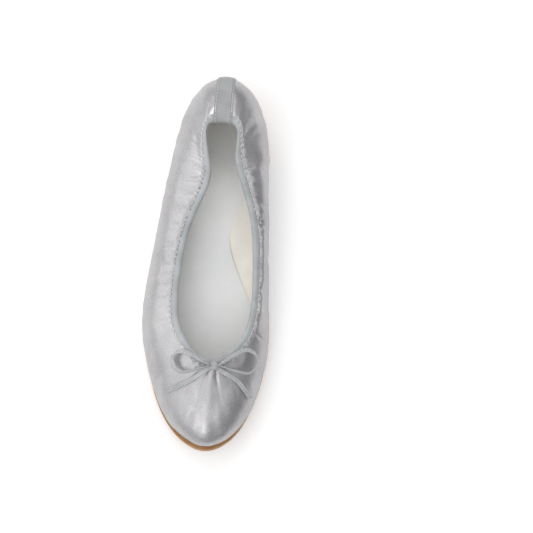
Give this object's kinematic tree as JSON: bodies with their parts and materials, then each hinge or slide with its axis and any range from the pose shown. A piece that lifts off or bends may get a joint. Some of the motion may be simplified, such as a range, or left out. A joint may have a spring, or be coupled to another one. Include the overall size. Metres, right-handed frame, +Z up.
{
  "type": "ballet slipper",
  "caption": "Right-foot satin ballet slipper with an elastic bound topline, a small tape bow at the throat, a padded insole and a low flat sole that flexes at the ball.",
  "frame": {"origin": "on the ground, in the middle of the slipper's width and length", "axes": "+Z up, toe towards -Y, heel towards +Y, medial (big-toe) side towards +X"},
  "size_m": [0.0848, 0.2471, 0.0551],
  "materials": {
    "satin": "pale silver-grey polyester satin, soft sheen",
    "binding": "pale blue-grey matte grosgrain tape",
    "backstay_tape": "flat matte grey tape",
    "lining": "off-white brushed lining cloth",
    "stiffener": "unbleached impregnated stiffening cloth",
    "elastic": "white woven elastic",
    "sock": "pale grey-white smooth synthetic leather",
    "cushion": "cream foam",
    "board": "brown fibre board",
    "shank": "plain spring steel",
    "outsole": "tan rubber, matte",
    "thread": "grey thread"
  },
  "bodies": {
    "rear": {"outsole_rear": "outsole", "heel_lift": "outsole", "heel_top_piece": "outsole", "insole_board_rear": "board", "shank": "shank", "cushion_rear": "cushion", "sock_rear": "sock", "arch_pad": "lining", "quarter_lateral": "satin", "quarter_medial": "satin", "quarter_lining": "lining", "heel_counter": "stiffener", "backstay": "backstay_tape", "binding_lateral": "binding", "binding_medial": "binding", "elastic_collar": "elastic"},
    "forefoot": {"outsole_forefoot": "outsole", "insole_board_forefoot": "board", "cushion_forefoot": "cushion", "sock_forefoot": "sock", "vamp": "satin", "vamp_lining": "lining", "toe_puff": "stiffener", "binding_throat": "binding", "elastic_throat": "elastic", "bow_tack": "thread"},
    "bow": {"bow_knot": "binding"},
    "loop_lateral": {"bow_loop_lateral": "binding"},
    "loop_medial": {"bow_loop_medial": "binding"},
    "tail_lateral": {"bow_tail_lateral": "binding"},
    "tail_medial": {"bow_tail_medial": "binding"}
  },
  "joints": [
    {"name": "ball_flex", "type": "hinge", "parent": "rear", "child": "forefoot", "pos_m": [0.0052, -0.041, 0.0105], "axis": [-1, 0, 0], "range_deg": [0, 30]},
    {"name": "bow_swivel", "type": "hinge", "parent": "forefoot", "child": "bow", "pos_m": [0.00818, -0.06442, 0.04131], "axis": [-0.0111, -0.2685, 0.9632], "range_deg": [-2, 2]},
    {"name": "loop_lateral_lift", "type": "hinge", "parent": "bow", "child": "loop_lateral", "pos_m": [0.00395, -0.06512, 0.04458], "axis": [0.0523, 0.9986, 0], "range_deg": [0, 50]},
    {"name": "loop_medial_lift", "type": "hinge", "parent": "bow", "child": "loop_medial", "pos_m": [0.0123, -0.06468, 0.04458], "axis": [0.1564, -0.9877, 0], "range_deg": [0, 50]},
    {"name": "tail_lateral_lift", "type": "hinge", "parent": "bow", "child": "tail_lateral", "pos_m": [0.00464, -0.06725, 0.04323], "axis": [-0.5446, 0.8387, 0], "range_deg": [0, 45]},
    {"name": "tail_medial_lift", "type": "hinge", "parent": "bow", "child": "tail_medial", "pos_m": [0.01133, -0.06771, 0.04323], "axis": [-0.6561, -0.7547, 0], "range_deg": [0, 45]}
  ]
}
